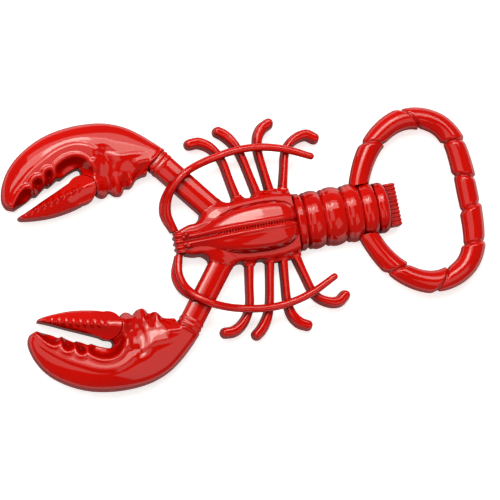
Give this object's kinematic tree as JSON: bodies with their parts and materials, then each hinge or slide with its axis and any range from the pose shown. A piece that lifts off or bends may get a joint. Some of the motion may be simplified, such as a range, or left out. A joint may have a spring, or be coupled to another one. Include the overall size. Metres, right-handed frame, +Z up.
{
  "type": "lobster cracker",
  "caption": "Lobster-shaped table cracker with jointed pincer jaws, a ribbed tail with a ridged lever tab, and a ring handle.",
  "frame": {"origin": "centre of the footprint, on the table that the flat back rests on", "axes": "+X from the head towards the ring handle, +Y towards the lobster's right side, +Z up out of its back"},
  "size_m": [0.1774, 0.0998, 0.015],
  "materials": {
    "red_lacquer_shell": "thick glossy red lacquer over cast metal, darker where it lies deep in the grooves",
    "red_lacquer_tail": "thick glossy red lacquer over cast metal, darker where it lies deep in the grooves",
    "red_lacquer_ring": "thick glossy red lacquer over cast metal, darker where it lies deep in the grooves",
    "red_lacquer_claws": "thick glossy red lacquer over cast metal, darker where it lies deep in the grooves",
    "red_lacquer_limbs": "thick glossy red lacquer over cast metal, darker where it lies deep in the grooves",
    "bright_steel": "turned bright steel"
  },
  "bodies": {
    "frame": {"carapace": "red_lacquer_shell", "nose_block": "red_lacquer_shell", "right_eye": "red_lacquer_shell", "left_eye": "red_lacquer_shell", "tail_segment_1": "red_lacquer_tail", "tail_segment_2": "red_lacquer_tail", "tail_segment_3": "red_lacquer_tail", "tail_segment_4": "red_lacquer_tail", "tail_segment_5": "red_lacquer_tail", "tail_segment_6": "red_lacquer_tail", "spine_tongue": "bright_steel", "ring_handle": "red_lacquer_ring", "right_arm": "red_lacquer_limbs", "left_arm": "red_lacquer_limbs", "right_claw": "red_lacquer_claws", "left_claw": "red_lacquer_claws", "right_spring_washer": "bright_steel", "left_spring_washer": "bright_steel", "right_leg_1": "red_lacquer_limbs", "right_leg_2": "red_lacquer_limbs", "right_leg_3": "red_lacquer_limbs", "right_leg_4": "red_lacquer_limbs", "left_leg_1": "red_lacquer_limbs", "left_leg_2": "red_lacquer_limbs", "left_leg_3": "red_lacquer_limbs", "left_leg_4": "red_lacquer_limbs", "right_antenna": "red_lacquer_limbs", "left_antenna": "red_lacquer_limbs"},
    "right_finger": {"right_moving_finger": "red_lacquer_claws", "right_finger_pin": "bright_steel"},
    "left_finger": {"left_moving_finger": "red_lacquer_claws", "left_finger_pin": "bright_steel"}
  },
  "joints": [
    {"name": "right_finger_hinge", "type": "hinge", "parent": "frame", "child": "right_finger", "pos_m": [-0.0593, 0.0256, 0.003], "axis": [0, 0, 1], "range_deg": [-6, 24]},
    {"name": "left_finger_hinge", "type": "hinge", "parent": "frame", "child": "left_finger", "pos_m": [-0.0593, -0.0256, 0.003], "axis": [0, 0, -1], "range_deg": [-6, 24]}
  ]
}
